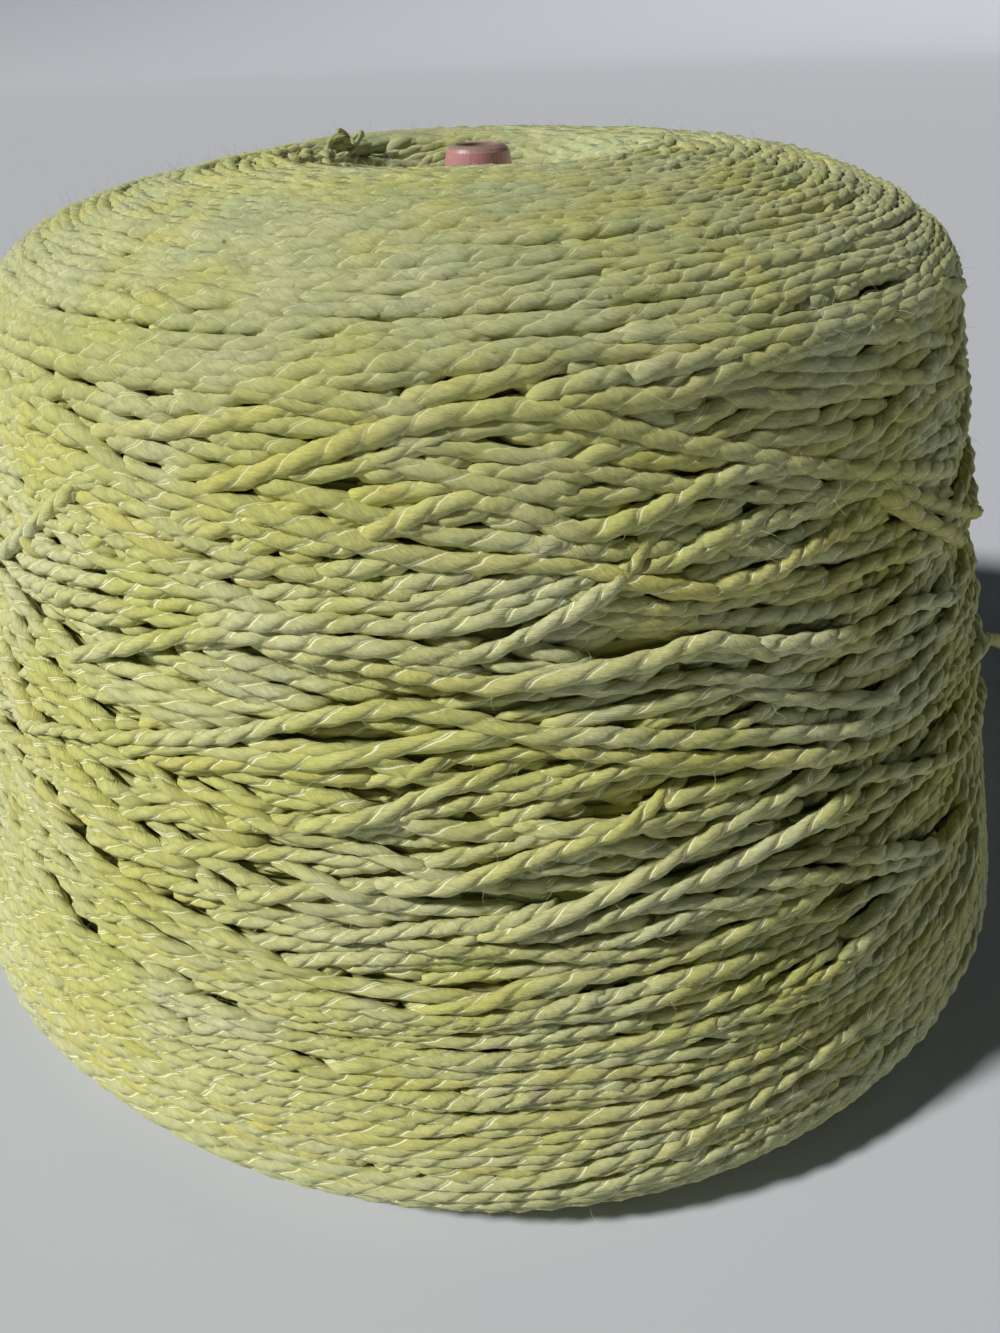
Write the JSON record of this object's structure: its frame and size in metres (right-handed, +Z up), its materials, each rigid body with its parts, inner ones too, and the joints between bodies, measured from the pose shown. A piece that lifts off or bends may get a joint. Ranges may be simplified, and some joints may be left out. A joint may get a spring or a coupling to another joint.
{
  "type": "yarn cake",
  "caption": "Wide cone-shaped package of thick soft cotton yarn, cross-wound on a hollow winding cone whose nose shows in the dip on top, with a loose end at its side.",
  "frame": {"origin": "on the surface that the package stands on, on the axis of the winding cone", "axes": "+Z up along the cone's axis, from its wide base to its nose; +X to the right of the picture, where the loose end leaves; -Y towards the camera"},
  "size_m": [0.3097, 0.2431, 0.1637],
  "materials": {
    "yarn": "soft matt cotton, pale yellow-green, bound with a thin shiny thread",
    "cone": "satin pink"
  },
  "bodies": {
    "root": {"yarn_cake": "yarn", "cone_core": "cone", "loose_end": "yarn"}
  },
  "joints": []
}
